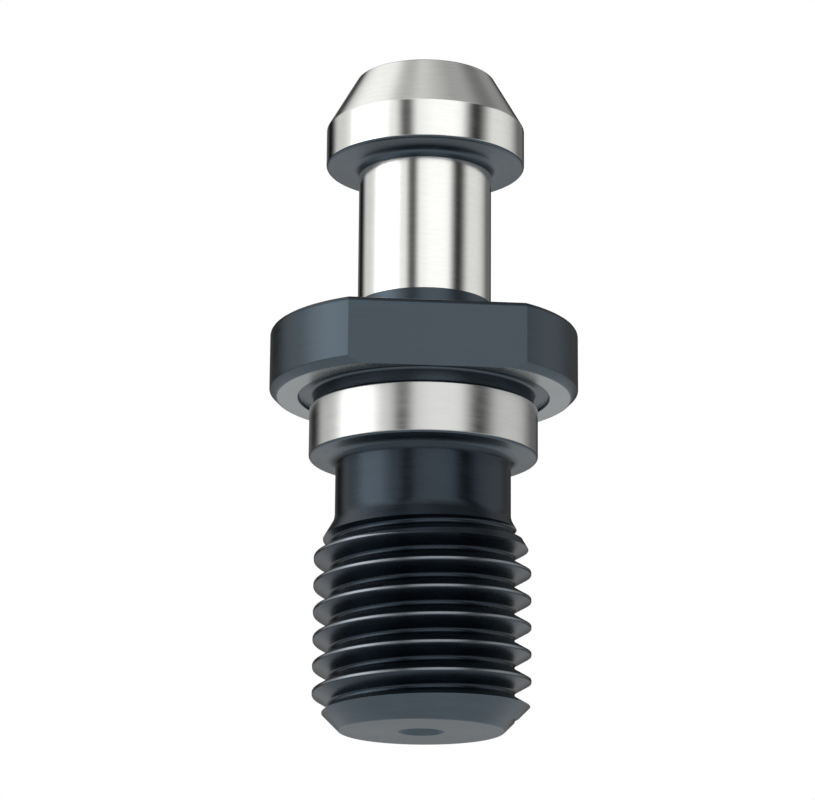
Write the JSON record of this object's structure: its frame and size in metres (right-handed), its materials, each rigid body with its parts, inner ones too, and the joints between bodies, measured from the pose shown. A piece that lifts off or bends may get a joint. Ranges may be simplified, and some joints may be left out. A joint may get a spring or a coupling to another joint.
{
  "type": "pull stud",
  "caption": "Turned steel pull stud with a grip head, neck, flange with two spanner flats, locating pilot and threaded shank, for drawing a size 40 taper tool holder into a spindle.",
  "frame": {"origin": "where the stud's axis crosses the seat face of the flange, which is also the middle of its length", "axes": "+Z along the axis towards the head; Y square to the two spanner flats"},
  "size_m": [0.023, 0.019, 0.05],
  "materials": {
    "steel": "case-hardened steel, ground bright on the head, neck and pilot and black oxide elsewhere"
  },
  "bodies": {
    "root": {"pull_stud": "steel"}
  },
  "joints": []
}
